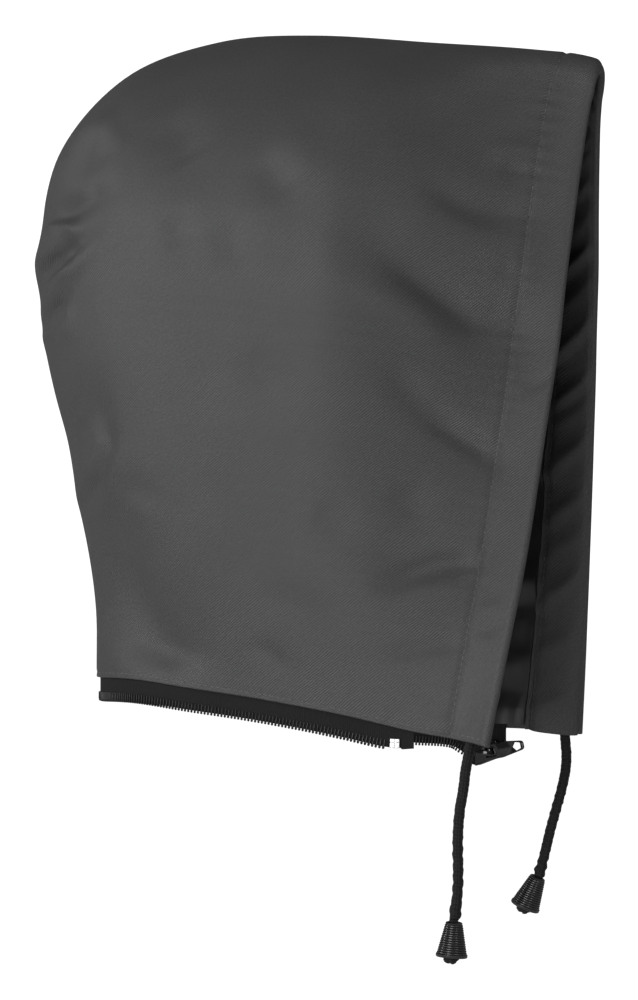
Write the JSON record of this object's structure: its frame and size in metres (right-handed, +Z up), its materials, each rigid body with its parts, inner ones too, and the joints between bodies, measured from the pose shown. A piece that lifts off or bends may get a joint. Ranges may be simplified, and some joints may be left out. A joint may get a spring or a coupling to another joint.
{
  "type": "detachable hood",
  "caption": "Lined woven hood in its worn form, with a drawcord casing round the face opening, corded bell ends and a coil zip round the neck hem.",
  "frame": {"origin": "inside of the crown lining on the centre plane, where the hood sits on top of the head", "axes": "+Z up, -Y the way the wearer faces, -X the wearer's right"},
  "size_m": [0.1742, 0.2816, 0.439],
  "materials": {
    "twill": "dark grey fine diagonal twill, matt",
    "satin": "black satin with soft highlights",
    "zip_tape": "black ribbed woven tape",
    "zip_nylon": "black nylon coil",
    "bright_metal": "bare bright metal",
    "black_enamel": "glossy black enamel",
    "cord": "black braided cord",
    "bell_plastic": "glossy black plastic with fine ring grooves"
  },
  "bodies": {
    "hood": {"panel_right": "twill", "panel_left": "twill", "lining_right": "satin", "lining_left": "satin", "zip_tape": "zip_tape", "zip_coil": "zip_nylon", "zip_top_stop": "bright_metal", "zip_slider": "black_enamel", "cord_right": "cord", "cord_left": "cord", "bell_right": "bell_plastic", "bell_left": "bell_plastic", "knot_right": "cord", "knot_left": "cord"},
    "pull": {"zip_pull": "black_enamel"}
  },
  "joints": [
    {"name": "pull_hinge", "type": "hinge", "parent": "hood", "child": "pull", "pos_m": [0.06035, -0.06358, -0.34335], "axis": [0.0131, -0.2132, -0.9769], "range_deg": [0, 130]}
  ]
}
